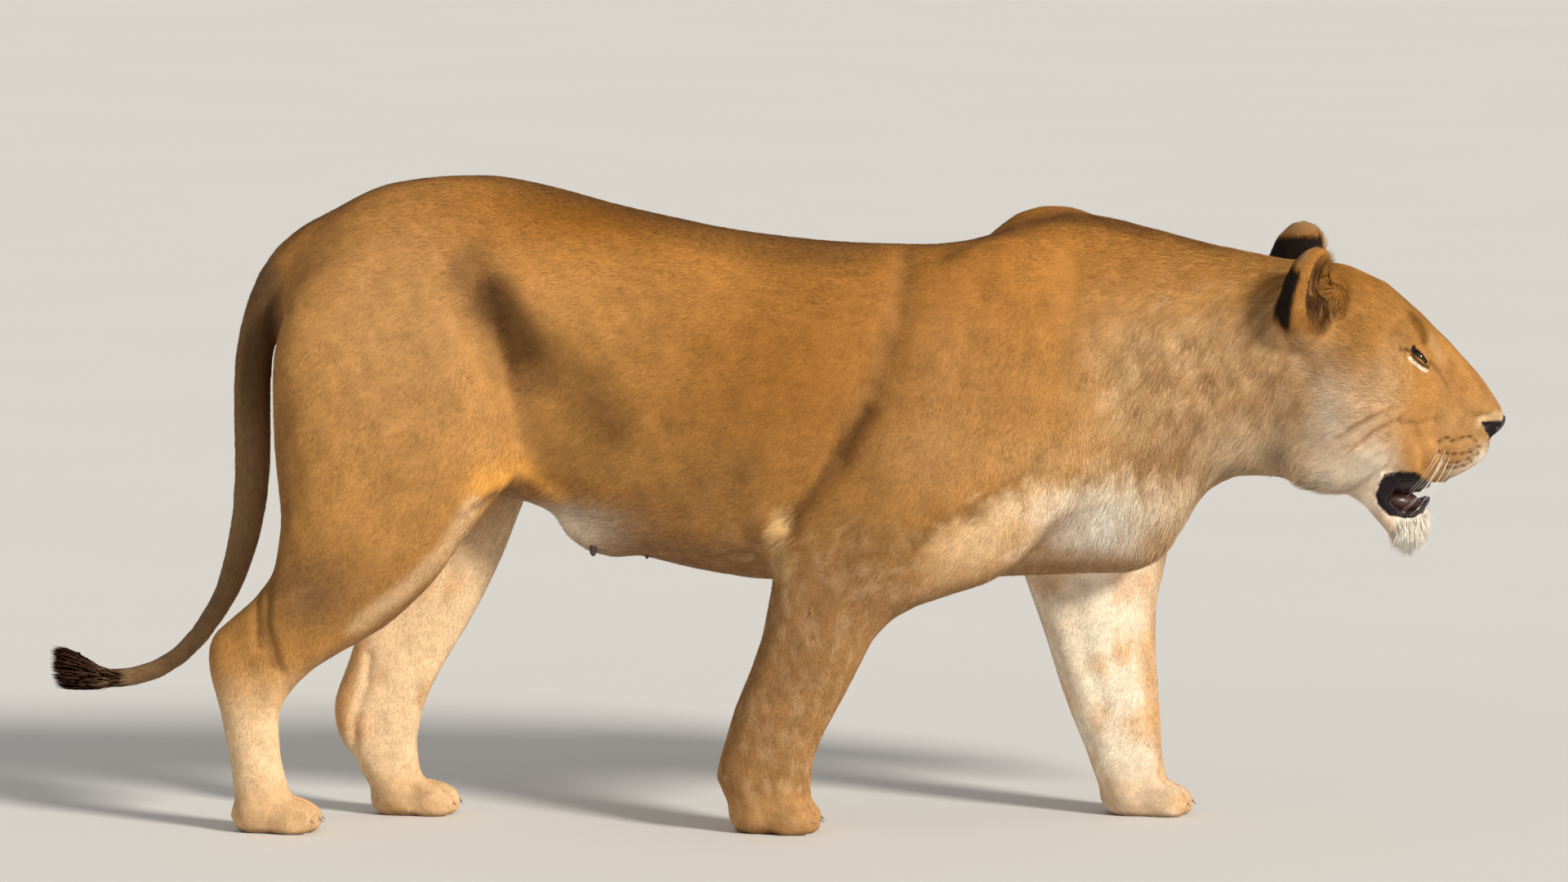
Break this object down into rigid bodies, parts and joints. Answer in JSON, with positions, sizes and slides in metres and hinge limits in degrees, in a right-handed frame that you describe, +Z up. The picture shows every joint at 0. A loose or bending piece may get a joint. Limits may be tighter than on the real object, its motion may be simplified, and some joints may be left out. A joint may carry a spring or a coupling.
{
  "type": "lioness",
  "caption": "Life-size lioness walking with her head low and mouth open, a still model in named pieces of flesh, with ears, eyes, nose, tongue and a tufted tail.",
  "frame": {"origin": "on the floor under the middle of the body's length, in the plane that divides its left from its right", "axes": "+X forward from tail to nose, +Y to the animal's left, +Z up"},
  "size_m": [2.0762, 0.3447, 0.9261],
  "materials": {
    "coat": "short tawny fur",
    "ear": "short black fur behind, pale fur inside",
    "tuft": "long dark brown hair",
    "eye": "wet, glossy amber",
    "nose": "black, finely grained, slightly wet",
    "tongue": "wet, rough, dark rose"
  },
  "bodies": {
    "root": {"belly": "coat", "chest": "coat", "head": "coat", "left_ear": "ear", "left_eye": "eye", "left_forearm": "coat", "left_forepaw": "coat", "left_hindpaw": "coat", "left_hock": "coat", "left_shank": "coat", "left_thigh": "coat", "left_upper_arm": "coat", "lower_jaw": "coat", "neck": "coat", "nose": "nose", "right_ear": "ear", "right_eye": "eye", "right_forearm": "coat", "right_forepaw": "coat", "right_hindpaw": "coat", "right_hock": "coat", "right_shank": "coat", "right_thigh": "coat", "right_upper_arm": "coat", "rump": "coat", "tail_base": "coat", "tail_end": "coat", "tail_middle": "coat", "tail_tuft": "tuft", "tongue": "tongue"}
  },
  "joints": []
}
